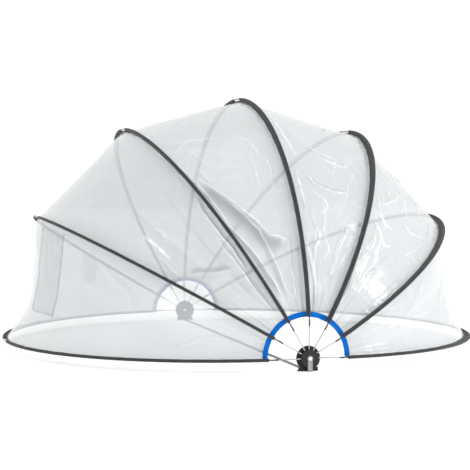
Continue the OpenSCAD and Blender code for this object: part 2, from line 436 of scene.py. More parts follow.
@dataclass(frozen=True)
class Finish:
    """What every finish shares.

    Attributes:
        name: Name of the material.
        colour: Main colour.
        second: Colour of its lighter and more rubbed places; on the clear film, the pale colour of its painted
            highlights and stress whitening.
        roughness: Roughness of the surface.
        metallic: Share of metal.
        specular: Strength of the plain reflection.
    """

    name: str
    colour: Colour
    second: Colour
    roughness: float
    metallic: float = 0.0
    specular: float = 0.5

    def dress(self, graph: Graph) -> None:
        """Adds the nodes of this finish."""
        raise NotImplementedError

    @cached_property
    def material(self) -> bpy.types.Material:
        """The finished material, made once."""
        graph = Graph(self.name)
        graph.shader.inputs["Metallic"].default_value = self.metallic
        graph.shader.inputs["Roughness"].default_value = self.roughness
        graph.shader.inputs["Specular IOR Level"].default_value = self.specular
        self.dress(graph)
        return graph.material


@dataclass(frozen=True)
class ClearFilm(Finish):
    """Soft clear film: slightly milky, glossy and creased, with a painted highlight and stress whitening along its
    creases, and painted shade where it is doubled.

    Attributes:
        cover: How much of what lies behind it the film hides.
        crinkle: Strength of its fine creases.
    """

    cover: float = 0.69
    crinkle: float = 0.5

    def dress(self, graph: Graph) -> None:
        """Adds the milky tone, the fine creases, the gloss, the painted highlights with stress whitening on the
        creases, and the painted shade of doubled film.
        """
        place = graph.cloth_place()
        cloud = graph.noise(place, 1.6, 3.0)
        bent = graph.node("TexNoise", {"Vector": place, "Scale": 3.2, "Detail": 2.0}).outputs["Color"]
        pushed = graph.node("VectorMath", {0: bent, 1: (0.35, 0.35, 0.0)}, operation="MULTIPLY").outputs[0]
        warped = graph.node("VectorMath", {0: place, 1: pushed}, operation="ADD").outputs[0]
        cells = graph.node("TexVoronoi", {"Vector": warped, "Scale": 5.5}, feature="DISTANCE_TO_EDGE")
        lines = graph.span(cells.outputs["Distance"], 0.0, 0.035, (1.0, 0.0))
        patches = graph.span(graph.noise(place, 1.1), 0.47, 0.66)
        crinkle_strength = graph.node("Attribute", {}, attribute_name="crinkled").outputs["Fac"]
        creases = graph.math("MULTIPLY", graph.math("MULTIPLY", lines, patches), crinkle_strength)
        fold = graph.node("Attribute", {}, attribute_name="crease_whitening_and_highlight").outputs["Fac"]
        double = graph.node("Attribute", {}, attribute_name="doubling_and_painted_shade").outputs["Fac"]
        # Painted highlight with stress whitening: paler, more opaque film along folds and fine creases.
        pale = graph.math("MAXIMUM", fold, graph.math("MULTIPLY", creases, 0.35))
        milky = graph.mix(cloud, self.colour, tuple(0.94 * c for c in self.colour))
        # Painted shade: the film's colour is darker in its doubled places and folds.
        shaded = graph.mix(double, milky, tuple(0.62 * c for c in self.colour))
        graph.join(graph.mix(pale, shaded, self.second), graph.shader.inputs["Base Color"])
        extra = graph.math("MULTIPLY", graph.math("MAXIMUM", pale, double), 0.28)
        haze = graph.span(cloud, 0.3, 0.7, (self.cover - 0.03, self.cover + 0.03))
        graph.join(graph.math("ADD", haze, extra), graph.shader.inputs["Alpha"])
        graph.bump(creases, 0.004, self.crinkle)
        graph.bump(graph.noise(graph.stretch(place, (1.0, 2.2, 1.0)), 9.0, 3.0), 0.006, 0.35)
        graph.join(graph.span(cloud, 0.2, 0.8, (self.roughness, self.roughness + 0.08)),
                   graph.shader.inputs["Roughness"])


@dataclass(frozen=True)
class WovenCloth(Finish):
    """Coated woven polyester, dusty in places, with painted shade between its threads.

    Attributes:
        pitch: Distance from thread to thread.
        twill: Whether the weave is slanted.
        sheen: Strength of the cloth's soft sheen.
    """

    pitch: float = 0.0016
    twill: bool = False
    sheen: float = 0.15

    def dress(self, graph: Graph) -> None:
        """Adds the threads with painted shade in their hollows, the dust and the sheen."""
        place = graph.cloth_place()
        threads = graph.weave(place, self.pitch, self.twill)
        dust = graph.span(graph.noise(place, 7.0, 4.0), 0.42, 0.75, (0.0, 0.55))
        # Painted shade: the cloth's colour darkens where the threads dip.
        threads_with_painted_shade = graph.mix(threads, tuple(0.72 * c for c in self.colour), self.colour)
        graph.join(graph.mix(dust, threads_with_painted_shade, self.second), graph.shader.inputs["Base Color"])
        graph.join(graph.span(dust, 0.0, 0.55, (self.roughness, 0.95)), graph.shader.inputs["Roughness"])
        graph.shader.inputs["Sheen Weight"].default_value = self.sheen
        graph.shader.inputs["Sheen Roughness"].default_value = 0.4
        graph.bump(graph.noise(graph.stretch(place, (1.0, 3.0, 1.0)), 30.0, 3.0), 0.0012, 0.5)
        graph.bump(threads, 0.0004, 0.8)


@dataclass(frozen=True)
class Metal(Finish):
    """Plated or plain metal with drawing marks, smudges and dull spots.

    Attributes:
        grain: How much finer the marks are along each axis.
        spangle: Size of the crystals that galvanising leaves, or 0 for none.
    """

    grain: Colour = (1.0, 1.0, 1.0)
    spangle: float = 0.0

    def dress(self, graph: Graph) -> None:
        """Adds the marks, the crystals and the smudges."""
        place = graph.place()
        marks = graph.noise(graph.stretch(place, self.grain), 60.0, 4.0)
        smudge = graph.span(graph.noise(place, 9.0, 4.0), 0.4, 0.7)
        tone = graph.mix(smudge, self.colour, self.second)
        if self.spangle:
            cells = graph.node("TexVoronoi", {"Vector": place, "Scale": 1.0 / self.spangle})
            facets = graph.node("SeparateColor", {0: cells.outputs["Color"]}).outputs[0]
            tone = graph.mix(graph.math("MULTIPLY", facets, 0.6), tone, tuple(0.7 * c for c in self.second))
            graph.bump(facets, 0.0002, 0.3)
        graph.join(tone, graph.shader.inputs["Base Color"])
        rough = graph.span(graph.math("ADD", marks, smudge), 0.4, 1.6, (self.roughness, self.roughness + 0.2))
        graph.join(rough, graph.shader.inputs["Roughness"])
        graph.bump(marks, 0.0003, 0.4)


@dataclass(frozen=True)
class MouldedPlastic(Finish):
    """Moulded plastic with a fine spark-eroded grain and a few pale scuffs."""

    def dress(self, graph: Graph) -> None:
        """Adds the grain and the scuffs."""
        place = graph.place()
        grain = graph.noise(place, 700.0, 2.0)
        flow = graph.noise(place, 14.0, 3.0)
        scuff = graph.span(graph.noise(graph.stretch(place, (1.0, 1.0, 6.0)), 45.0, 5.0), 0.62, 0.78)
        graph.join(graph.mix(graph.math("MULTIPLY", scuff, 0.5), self.colour, self.second),
                   graph.shader.inputs["Base Color"])
        graph.join(graph.span(flow, 0.3, 0.7, (self.roughness - 0.06, self.roughness + 0.1)),
                   graph.shader.inputs["Roughness"])
        graph.bump(grain, 0.0002, 0.5)
        graph.bump(flow, 0.0008, 0.2)


@dataclass(frozen=True)
class PulledRod(Finish):
    """Pultruded glass fibre rod: dark resin with fine fibre streaks and a smooth skin."""

    def dress(self, graph: Graph) -> None:
        """Adds the streaks and the skin."""
        place = graph.place()
        streaks = graph.noise(graph.stretch(place, (1.0, 0.15, 1.0)), 400.0, 3.0)
        wear = graph.span(graph.noise(place, 12.0, 4.0), 0.5, 0.75, (0.0, 0.6))
        fibres = graph.math("MULTIPLY", streaks, graph.math("ADD", wear, 0.3))
        graph.join(graph.mix(fibres, self.colour, self.second), graph.shader.inputs["Base Color"])
        graph.join(graph.span(wear, 0.0, 0.6, (self.roughness, self.roughness + 0.25)),
                   graph.shader.inputs["Roughness"])
        graph.bump(streaks, 0.0002, 0.4)


@dataclass(frozen=True)
class StudioFloor(Finish):
    """Pale matt studio floor with a faint unevenness, lit from below.

    Attributes:
        glow: Strength of the light from below.
    """

    glow: float = 0.4

    def dress(self, graph: Graph) -> None:
        """Adds the faint unevenness."""
        cloud = graph.noise(graph.place(), 0.4, 3.0)
        graph.join(graph.mix(cloud, self.colour, self.second), graph.shader.inputs["Base Color"])
        graph.shader.inputs["Emission Color"].default_value = (1.0, 1.0, 1.0, 1.0)
        graph.shader.inputs["Emission Strength"].default_value = self.glow


@dataclass(frozen=True)
class Wardrobe:
    """Every finish that the dome wears."""

    # On both films the second colour is the pale colour of the painted highlights and stress whitening along creases.
    film: Finish = ClearFilm("clear_film", (0.525, 0.550, 0.560), (0.97, 0.98, 0.99), 0.12, specular=0.8)
    flap: Finish = ClearFilm(
        "door_film", (0.50, 0.525, 0.535), (0.93, 0.95, 0.96), 0.14, specular=0.7, cover=0.2, crinkle=0.3
    )
    sleeve: Finish = WovenCloth(
        "charcoal_sleeve_cloth", (0.036, 0.037, 0.040), (0.065, 0.066, 0.068), 0.8, specular=0.25, twill=True
    )
    sleeve_thread: Finish = WovenCloth(
        "charcoal_thread", (0.035, 0.037, 0.04), (0.06, 0.06, 0.063), 0.6, pitch=0.0006
    )
    binding: Finish = WovenCloth(
        "blue_binding_tape", (0.0, 0.138, 0.56), (0.005, 0.18, 0.62), 0.7, specular=0.1, pitch=0.0022, sheen=0.0
    )
    binding_thread: Finish = WovenCloth(
        "blue_thread", (0.01, 0.17, 0.66), (0.04, 0.24, 0.72), 0.5, pitch=0.0006
    )
    zip_tape: Finish = WovenCloth("zip_tape", (0.60, 0.62, 0.64), (0.68, 0.70, 0.72), 0.7, pitch=0.0012)
    zip_teeth: Finish = MouldedPlastic("zip_coil", (0.56, 0.57, 0.59), (0.64, 0.65, 0.67), 0.35)
    rod: Finish = PulledRod("black_rod", (0.010, 0.010, 0.012), (0.06, 0.06, 0.065), 0.32, specular=0.4)
    ferrule: Finish = Metal("ferrule_alloy", (0.36, 0.37, 0.38), (0.46, 0.47, 0.48), 0.42, 0.8, grain=(0.2, 4.0, 4.0))
    spoke: Finish = Metal("zinc_plated_spoke", (0.31, 0.315, 0.32), (0.39, 0.395, 0.40), 0.28, 0.9)
    bolt: Finish = Metal("bright_bolt", (0.72, 0.73, 0.74), (0.84, 0.84, 0.85), 0.18, 0.95)
    tie: Finish = Metal("galvanised_tie", (0.23, 0.235, 0.24), (0.33, 0.335, 0.34), 0.42, 0.75, spangle=0.012)
    hub: Finish = MouldedPlastic("black_hub_plastic", (0.012, 0.012, 0.014), (0.05, 0.05, 0.053), 0.5, specular=0.3)
    floor: Finish = StudioFloor("studio_floor", (0.955, 0.958, 0.962), (0.97, 0.97, 0.975), 0.95, specular=0.05)

    def nodes(self) -> dict[str, Finish]:
        """Finishes of the frame's own nodes, by the start of a node's name."""
        return {
            "hoop_spokes": self.spoke,
            "hoop_rods": self.rod,
            "hoop_ferrules": self.ferrule,
            "hub_base": self.hub,
            "hub_cap": self.hub,
            "pivot_bolt": self.bolt,
            "pivot_nuts": self.bolt,
            "pivot_washers": self.spoke,
            "tie_bar": self.tie,
            "tie_splice": self.tie,
            "splice_rivets": self.bolt,
        }

    def dress_frame(self) -> None:
        """Gives each node of the frame that still shows its finish."""
        for name, node in sorted(frame["nodes"].items()):
            finish = next((f for start, f in self.nodes().items() if name.startswith(start)), None)
            if finish is None or node.hide_render:
                continue
            for slot in node.material_slots:
                slot.material = finish.material
            log.info("%s: dressed in %s", name, finish.name)


# --------------------------------------------------------------------------------------------------------------
# Soft goods
# --------------------------------------------------------------------------------------------------------------

BAR_FACES = ((0, 1, 2), (0, 2, 3), (0, 3, 4), (0, 4, 1), (5, 2, 1), (5, 3, 2), (5, 4, 3), (5, 1, 4))


def stitches(middles: Array, along: Array, up: Array, length: float, width: float) -> Array:
    """Points of a row of stitches, each a thread that rises between its two ends.

    Args:
        middles: Middle of each stitch.
        along: Direction of each stitch.
        up: Direction away from the cloth.
        length: Length of a stitch.
        width: Thickness of the thread.

    Returns:
        Points by stitch, in the order that BAR_FACES needs.
    """
    aside = np.cross(along, up)
    ring = [middles + up * width / 2, middles + aside * width / 2]
    ring += [middles - up * width / 2, middles - aside * width / 2]
    ends = [middles - along * length / 2, middles + along * length / 2]
    return np.stack([ends[0], *ring, ends[1]], 1)


@dataclass(frozen=True)
class Sleeve:
    """The charcoal cloth sleeve of one hoop: a pocket around the rod, and a flat band on its inner side.

    Attributes:
        dome: The dome's sizes.
        clothes: The finishes.
        band_t: Thickness of the band.
        crown_gap: Length of pocket left open at the top.
        bore_r: Radius inside the pocket.
        mouth: Depth to which a pocket's open end is hollow.
        ring_step: Distance between the rings of points.
        stitch_step: Distance from stitch to stitch.
    """

    dome: Dome
    clothes: Wardrobe
    band_t: float = 0.003
    crown_gap: float = 0.250
    bore_r: float = 0.0115
    mouth: float = 0.030
    ring_step: float = 0.022
    stitch_step: float = 0.014
    noise: Noise = field(default_factory=lambda: Noise(11))

    def wave(self, hoop: int, bend: Array) -> Array:
        """How far the band's inner edge waves to one side."""
        run = bend * self.dome.bend_r
        return 0.0022 * self.noise(run / 0.16, hoop * 3.7) + 0.0010 * self.noise(run / 0.05, hoop * 5.3)

    def edge(self, hoop: int, bend: Array) -> Array:
        """How far the band's inner edge is drawn outwards, by its taper and its gathers."""
        run = bend * self.dome.bend_r
        return self.dome.taper(bend) + 0.0025 * self.noise(run / 0.11, 40.0 + hoop * 2.9)

    def band_outline(self) -> list[tuple[float, float]]:
        """One half of the band's section: distance inwards from the rod, and share of the band's thickness."""
        edge, pocket = self.dome.band_in, self.dome.pocket_r
        hem = [(edge, 0.4), (edge - 0.001, 1.0), (edge - 0.006, 1.08), (edge - 0.016, 1.0)]
        seam = [(pocket + 0.017, 1.1), (pocket + 0.0105, 1.3), (pocket + 0.0045, 2.4)]
        return [*hem, ((edge + pocket) / 2, 0.95), *seam]

    def give(self, inwards: Array) -> Array:
        """Share of the inner edge's waves that the band has at a distance inwards from the rod."""
        return ease((inwards - self.bore_r) / (self.dome.band_in - self.bore_r))

    def half_outline(self) -> Array:
        """One half of the section: place outwards, and place to the side."""
        flat = self.band_t / 2
        points = [(-inwards, wide * flat) for inwards, wide in self.band_outline()]
        around = np.radians(np.arange(150, -1, -25))
        points += [(self.dome.pocket_r * math.cos(a), self.dome.pocket_r * math.sin(a)) for a in around]
        return np.array(points)

    def section(self, hoop: int, bend: Array, pocket: bool) -> tuple[Array, Array]:
        """The closed section at each bend angle.

        Args:
            hoop: Number of the hoop.
            bend: Bend angles of the rings.
            pocket: Whether the pocket is there, or only the band.

        Returns:
            Points by ring, and the distance around the section of each.
        """
        half = self.half_outline()
        if not pocket:
            rim = -self.dome.pocket_r
            half = np.concatenate([half[:6], [[rim - 0.0005, self.band_t / 2], [rim, 0.0]]])
        other = half[-2::-1] * (1, -1)
        outline = np.concatenate([half, other])
        share = self.give(-outline[:, 0])
        run = bend[:, None] * self.dome.bend_r
        around = np.linspace(0.0, 6.0, len(outline))
        slack = 1.0 + (1.0 - share) * (0.030 * self.noise(run / 0.07, around + hoop) - 0.012)
        if pocket:
            hem = ease(1.0 - (run - run.min()) / 0.020) + ease(1.0 - (run.max() - run) / 0.020)
            slack = slack + 0.05 * (1.0 - share) * hem
        out = outline[:, 0] * slack + share * self.edge(hoop, bend)[:, None]
        side = outline[:, 1] * slack + share * self.wave(hoop, bend)[:, None]
        steps = np.linalg.norm(np.diff(np.concatenate([outline, outline[:1]]), axis=0), axis=1)
        return self.dome.on_hoop(hoop, bend[:, None], out, side), np.concatenate([[0.0], np.cumsum(steps)])

    def stretch(self, skin: Skin, hoop: int, start: float, end: float, pocket: bool) -> None:
        """Adds one length of sleeve, with its two ends.

        Args:
            skin: Where the faces go.
            hoop: Number of the hoop.
            start: Bend angle at which it starts.
            end: Bend angle at which it ends.
            pocket: Whether it has a pocket.
        """
        rings = max(int((end - start) * self.dome.bend_r / self.ring_step), 8)
        bend = np.linspace(start, end, rings)
        points, across = self.section(hoop, bend, pocket)
        index = skin.grid(points, bend * self.dome.bend_r, across, wrap=True)
        for ring, inside in ((index[0], self.mouth), (index[-1][::-1], -self.mouth)):
            if not pocket:
                skin.face(ring)
                continue
            at = bend[0] if inside > 0 else bend[-1]
            self.open_mouth(skin, hoop, ring, at, inside)

    def open_mouth(self, skin: Skin, hoop: int, ring: Array, at: float, inside: float) -> None:
        """Closes a pocket's end around its hollow mouth.

        Args:
            skin: Where the faces go.
            hoop: Number of the hoop.
            ring: Points of the section at that end.
            at: Bend angle of the end.
            inside: Depth of the hollow, with the sign of its direction.
        """
        around = np.radians(np.arange(150, -151, -25))
        if inside < 0:
            around = around[::-1]
        low = around[-1] + np.sign(around[-1]) * np.radians([20.0, 40.0])
        bore = np.concatenate([around, low])
        bends = np.array([at, at + inside / self.dome.bend_r])
        points = self.dome.on_hoop(hoop, bends[:, None], self.bore_r * np.cos(bore), self.bore_r * np.sin(bore))
        span = np.concatenate([np.arange(len(bore)), [0]]) * 0.005
        hole = skin.grid(points[:, ::-1], np.array([0.0, self.mouth]), span, wrap=True)[:, ::-1]
        skin.face(hole[1][::-1])
        first = len(self.band_outline())
        arc = ring[first:first + len(around)]
        for i in range(len(around) - 1):
            skin.face([arc[i], arc[i + 1], hole[0][i + 1], hole[0][i]])
        rest = np.concatenate([ring[first + len(around) - 1:], ring[:first + 1]])
        skin.face([*rest, hole[0][0], *hole[0][len(around):][::-1], hole[0][len(around) - 1]])

    def sew(self, hoop: int, start: float, end: float) -> Skin:
        """Makes the rows of stitches along the pocket and along the film's seam.

        Args:
            hoop: Number of the hoop.
            start: Bend angle at which the rows start.
            end: Bend angle at which they end.

        Returns:
            The stitches.
        """
        skin = Skin()
        count = int((end - start) * self.dome.bend_r / self.stitch_step)
        bend = start + (np.arange(count) + 0.5) * (end - start) / count
        ahead = np.stack([np.zeros(count)] * 3, -1)
        turn = self.dome.hoop_angle(hoop)
        ahead[:, 0] = np.cos(bend) * math.cos(turn)
        ahead[:, 1] = np.sin(bend)
        ahead[:, 2] = np.cos(bend) * math.sin(turn)
        for inwards, lift in ((self.dome.pocket_r + 0.0125, 1.25), (self.dome.band_in - 0.009, 1.12)):
            share = self.give(inwards)
            for face in Face:
                side = face.value * (self.band_t / 2 * lift + 0.0008) + share * self.wave(hoop, bend)
                middles = self.dome.on_hoop(hoop, bend, share * self.edge(hoop, bend) - inwards, side)
                up = np.array([-math.sin(turn), 0.0, math.cos(turn)]) * face.value * np.ones((count, 1))
                skin.solid(stitches(middles, ahead, up, 0.009, 0.0014), BAR_FACES)
        return skin

    def build(self) -> None:
        """Makes the sleeves and stitches of all the hoops."""
        start = self.dome.bend_at(self.dome.sleeve_start, self.dome.bend_r)
        gap = self.crown_gap / 2 / self.dome.bend_r
        overlap = 0.004 / self.dome.bend_r
        crown = math.pi / 2
        for hoop in range(self.dome.hoops):
            skin = Skin()
            self.stretch(skin, hoop, start, crown - gap, True)
            self.stretch(skin, hoop, crown - gap - overlap, crown + gap + overlap, False)
            self.stretch(skin, hoop, crown + gap, math.pi - start, True)
            piece = skin.build(f"cloth_sleeve_{hoop}", [self.clothes.sleeve.material], crisp=50.0)
            thread = self.sew(hoop, start, math.pi - start)
            sewn = thread.build(f"sleeve_stitching_{hoop}", [self.clothes.sleeve_thread.material])
            for made in (piece, sewn):
                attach(made, self.dome.body(hoop))
                report(made, self.dome.body(hoop))
            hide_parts(f"hoop_sleeve_{hoop}")


@dataclass(frozen=True)
class Fold:
    """A fold or crease in a film panel.

    Attributes:
        panel: Number of the panel.
        path: Its points: share of the way from hoop to hoop, and bend angle in degrees.
        height: How far it stands out of the film, or in where it is negative.
        width: Half of its width.
        lean: How far it leans over, from -1 to 1.
        whitening_and_highlight: How pale its ridge is, with stress whitening and a painted highlight.
        double: How strongly the film beside it looks doubled, darkened with painted shade.
        line: Half width of its pale ridge, the painted highlight.
        cover: Width of the doubled film beside it, with its painted shade.
    """

    panel: int
    path: tuple[tuple[float, float], ...]
    height: float = 0.012
    width: float = 0.022
    lean: float = 0.3
    whitening_and_highlight: float = 0.7
    double: float = 0.0
    line: float = 0.006
    cover: float = 0.05


def by_hand() -> list[Fold]:
    """The folds that are listed panel by panel."""
    return [
        # After the panel and path come height, width and lean, then the pale ridge (stress whitening with a painted
        # highlight) and the doubling beside it (darkened with painted shade).
        Fold(4, ((0.92, 50), (0.74, 40), (0.46, 28), (0.15, 25)), 0.030, 0.06, -0.6, 0.9, 1.0, 0.007, 0.22),
        Fold(4, ((0.80, 41), (0.60, 30), (0.54, 20), (0.52, 11)), 0.020, 0.04, -0.5, 0.6, 0.5, cover=0.09),
        Fold(4, ((0.96, 60), (0.93, 44), (0.92, 30)), 0.010, 0.02, 0.2, 0.8),
        Fold(4, ((0.97, 36), (0.80, 22), (0.70, 12)), 0.014, 0.03, -0.4, 0.6, 0.7, cover=0.08),
        Fold(4, ((0.14, 30), (0.26, 18), (0.30, 10)), 0.012, 0.03, -0.3, 0.4),
        Fold(4, ((0.90, 62), (0.70, 66), (0.45, 64)), 0.008, 0.02, 0.2, 0.5),
        Fold(3, ((0.85, 47), (0.87, 42), (0.84, 37), (0.86, 31)), 0.012, 0.016, 0.3, 1.0),
        Fold(3, ((0.76, 46), (0.68, 42), (0.45, 41), (0.20, 42)), 0.024, 0.045, 0.4, 0.8, 0.9),
        Fold(3, ((0.72, 40), (0.55, 38), (0.52, 36), (0.61, 33)), 0.010, 0.016, 0.0, 1.0),
        Fold(3, ((0.62, 29), (0.66, 26), (0.78, 21)), 0.012, 0.016, 0.0, 1.0),
        Fold(3, ((0.88, 70), (0.86, 60), (0.80, 50)), 0.010, 0.018, 0.3, 0.9),
        Fold(3, ((0.84, 66), (0.60, 57), (0.40, 55), (0.16, 57)), 0.012, 0.022, 0.2, 0.7),
        Fold(3, ((0.52, 54), (0.34, 52), (0.22, 53)), 0.008, 0.015, 0.0, 0.9),
        Fold(3, ((0.90, 24), (0.72, 14), (0.66, 8)), 0.012, 0.025, 0.3, 0.5),
        Fold(3, ((0.20, 36), (0.34, 24), (0.40, 12)), 0.010, 0.03, 0.3, 0.1, 0.3),
        Fold(2, ((0.92, 50), (0.80, 42), (0.66, 40), (0.50, 41)), 0.014, 0.018, 0.3, 1.0),
        Fold(2, ((0.88, 44), (0.74, 47), (0.60, 54), (0.52, 62)), 0.012, 0.018, 0.0, 0.9),
        Fold(2, ((0.90, 38), (0.73, 37), (0.58, 34), (0.46, 36)), 0.012, 0.016, 0.3, 1.0),
        Fold(2, ((0.46, 48), (0.34, 46), (0.22, 48), (0.14, 50)), 0.012, 0.018, 0.2, 1.0),
        Fold(2, ((0.82, 36), (0.73, 33), (0.76, 29), (0.86, 25), (0.83, 19)), 0.012, 0.015, 0.0, 1.0),
        Fold(2, ((0.92, 66), (0.78, 58), (0.66, 48)), 0.012, 0.020, 0.3, 0.7),
        Fold(2, ((0.66, 72), (0.52, 60), (0.40, 50)), 0.010, 0.018, 0.3, 0.8),
        Fold(2, ((0.42, 74), (0.28, 62), (0.16, 54)), 0.010, 0.020, 0.3, 0.7),
        Fold(2, ((0.94, 30), (0.90, 22), (0.80, 12)), 0.016, 0.030, 0.4, 0.6, 0.5),
        Fold(2, ((0.66, 22), (0.50, 26), (0.42, 34)), 0.008, 0.020, 0.0, 0.1, 0.3),
        Fold(1, ((0.90, 40), (0.60, 30), (0.40, 18)), 0.012, 0.05, 0.3, 0.1, 0.2),
        Fold(1, ((0.70, 60), (0.50, 48), (0.20, 44)), 0.010, 0.04, 0.3, 0.1, 0.1),
        Fold(5, ((0.70, 48), (0.72, 43), (0.76, 37)), 0.014, 0.020, 0.2, 1.0, line=0.013),
        Fold(5, ((0.82, 32), (0.55, 27), (0.29, 24)), 0.016, 0.030, 0.3, 0.2, 0.9, cover=0.08),
        Fold(5, ((0.60, 47), (0.56, 44), (0.62, 41)), 0.008, 0.014, 0.0, 0.6),
        Fold(5, ((0.03, 46), (0.10, 36), (0.09, 28), (0.13, 20)), 0.016, 0.022, 0.3, 0.7, 0.4),
        Fold(5, ((0.16, 34), (0.18, 26), (0.20, 18), (0.22, 10)), 0.014, 0.022, 0.3, 0.6, 0.2),
        Fold(5, ((0.22, 56), (0.34, 40), (0.40, 26), (0.42, 12)), 0.022, 0.09, 0.2, 0.0, 0.35),
        Fold(5, ((0.50, 62), (0.58, 44), (0.60, 28)), 0.018, 0.10, -0.2, 0.0, 0.2),
        Fold(6, ((0.90, 30), (0.60, 22), (0.50, 12)), 0.010, 0.04, 0.2, 0.1, 0.1),
        Fold(6, ((0.10, 56), (0.30, 44), (0.50, 40)), 0.010, 0.06, 0.2, 0.0, 0.15),
    ]


@dataclass(frozen=True)
class FilmPanels:
    """The six panels of clear film between the hoops.

    Attributes:
        dome: The dome's sizes.
        clothes: The finishes.
        sleeve: The sleeves that the film is sewn to.
        columns: Steps from hoop to hoop.
        rows: Steps along the bend.
        sag: Inward sag halfway between the hoops.
        skirt_sags: The most sag of the first and last panels, which reach the ground.
        sag_skew: How low on those panels that is.
        clear: Distance of the film's edges from a hoop's plane.
        creasing: How creased each panel is.
        crinkled: How finely crinkled each panel is.
    """

    dome: Dome
    clothes: Wardrobe
    sleeve: Sleeve
    columns: int = 84
    rows: int = 440
    sag: float = 0.0
    skirt_sags: tuple[float, float] = (0.050, 0.105)
    sag_skew: float = 1.6
    clear: float = 0.003
    creasing: tuple[float, ...] = (0.35, 1.0, 0.9, 0.7, 0.25, 0.15)
    crinkled: tuple[float, ...] = (0.15, 0.7, 0.6, 0.4, 0.05, 0.0)
    noise: Noise = field(default_factory=lambda: Noise(23))
    folds: list[Fold] = field(default_factory=by_hand)

    @property
    def last(self) -> int:
        """Number of the last panel."""
        return self.dome.hoops - 1

    @property
    def ends(self) -> tuple[float, float]:
        """Bend angles of the film's two short edges, inside the bindings."""
        start = self.dome.bend_at(self.dome.binding_r + self.dome.binding_w / 3, self.dome.film_r)
        return start, math.pi - start

    def edge(self, hoop: int, turn: int, bend: Array, radius: Array) -> Array:
        """The film's edge at a hoop, on one side of its plane."""
        away = self.dome.straight_run + radius * np.sin(bend)
        angle = self.dome.hoop_angle(hoop) + turn * self.clear / away
        return np.stack([away * np.cos(angle), -radius * np.cos(bend), self.dome.pivot_h + away * np.sin(angle)], -1)

    def outwards(self, panel: int, bend: Array) -> Array:
        """Direction out of the dome in the middle of a panel."""
        middle = (self.dome.hoop_angle(panel - 1) + self.dome.hoop_angle(panel)) / 2
        return np.stack([np.sin(bend) * math.cos(middle), -np.cos(bend), np.sin(bend) * math.sin(middle)], -1)

    def spread(self, panel: int, bend: Array) -> Array:
        """Width of a panel at each bend angle."""
        turn = self.dome.hoop_angle(panel) - self.dome.hoop_angle(panel - 1)
        return 2 * (self.dome.straight_run + self.dome.film_edge_r(bend) * np.sin(bend)) * math.sin(turn / 2)

    def loose_folds(self, panel: int) -> list[Fold]:
        """Seeded folds for the far half of a panel, and a few faint ones for the near half.

        Args:
            panel: Number of the panel.

        Returns:
            The folds.
        """
        draw = np.random.default_rng(100 + panel)
        strength = self.creasing[panel - 1]
        made = []
        for i in range(int(10 + 26 * strength)):
            far = i % 3 > 0
            at = draw.uniform(95, 160) if far else draw.uniform(16, 90)
            share = draw.uniform(0.08, 0.92)
            lean = draw.uniform(-0.16, 0.16)
            reach = draw.uniform(5, 14) * (-1 if far else 1)
            bow = draw.uniform(-0.04, 0.04)
            path = (
                (share, at),
                (float(np.clip(share + lean / 2 + bow, 0.03, 0.97)), at + reach / 2),
                (float(np.clip(share + lean, 0.03, 0.97)), at + reach),
            )
            height = draw.uniform(0.003, 0.009) * (0.6 + strength)
            # The last number drawn is the fold's pale ridge: stress whitening with a painted highlight.
            made.append(Fold(panel, path, height, draw.uniform(0.012, 0.028), draw.uniform(-0.4, 0.4),
                             draw.uniform(0.1, 0.6) * strength))
        return made

    def press(self, fold: Fold, across: Array, along: Array) -> tuple[Array, Array, Array]:
        """The height, the paleness (stress whitening with a painted highlight) and the doubling (darkened with
        painted shade) that one fold gives the film.

        Args:
            fold: The fold.
            across: Place across the panel, in metres from its middle.
            along: Place along the panel, in metres.

        Returns:
            Height, paleness (stress whitening and painted highlight) and doubling (with painted shade), at each
            place.
        """
        shares = np.array([p[0] for p in fold.path])
        bends = np.radians([p[1] for p in fold.path])
        knots = np.linspace(0.0, 1.0, len(shares))
        fine = np.linspace(0.0, 1.0, 4 * len(shares))
        shares, bends = np.interp(fine, knots, shares), np.interp(fine, knots, bends)
        xs, ys = (shares - 0.5) * self.spread(fold.panel, bends), bends * self.dome.film_r
        wobble = 0.010 * self.noise(fine * 7.0 + fold.panel, shares * 9.0 + ys)
        xs = xs + wobble
        nearest = np.full(across.shape, 9.0)
        aside, part = np.zeros(across.shape), np.zeros(across.shape)
        for i in range(len(xs) - 1):
            step = np.array([xs[i + 1] - xs[i], ys[i + 1] - ys[i]])
            length = max(float(np.hypot(*step)), 1e-6)
            t = np.clip(((across - xs[i]) * step[0] + (along - ys[i]) * step[1]) / length**2, 0.0, 1.0)
            dx, dy = across - xs[i] - t * step[0], along - ys[i] - t * step[1]
            distance = np.hypot(dx, dy)
            closer = distance < nearest
            nearest = np.where(closer, distance, nearest)
            aside = np.where(closer, np.sign(dx * step[1] - dy * step[0]), aside)
            part = np.where(closer, (i + t) / (len(xs) - 1), part)
        taper = ease(np.minimum(part, 1.0 - part) / 0.22)
        slope = fold.width * (1.0 + fold.lean * aside)
        rise = np.clip(1.0 - nearest / slope, 0.0, 1.0)
        patchy = np.clip(0.75 + 0.7 * self.noise(part * 8.0 + fold.panel, nearest * 9.0 + shares[0] * 30.0), 0.0, 1.0)
        # Painted highlight with stress whitening: a pale line along the fold's ridge.
        whitening_and_highlight = fold.whitening_and_highlight * taper * patchy * np.exp(-((nearest / fold.line) ** 2))
        reach = np.clip(nearest / fold.cover, 0.0, 1.0)
        beside = aside * np.sign(fold.lean + 1e-6) > 0
        # Doubled film beside the fold, which the film's material also darkens with painted shade.
        double = fold.double * taper * ease(reach / 0.2) * ease((1.0 - reach) / 0.6) * beside
        return fold.height * taper * rise**1.6, whitening_and_highlight, double

    def patch(self, share: Array, bend: Array) -> Array:
        """Doubling that a small square patch gives the last panel, high up beside the door."""
        across = ease((0.125 - np.abs(share - 0.225)) / 0.01)
        return 0.30 * across * ease((math.radians(3.0) - np.abs(bend - math.radians(58.0))) / 0.005)

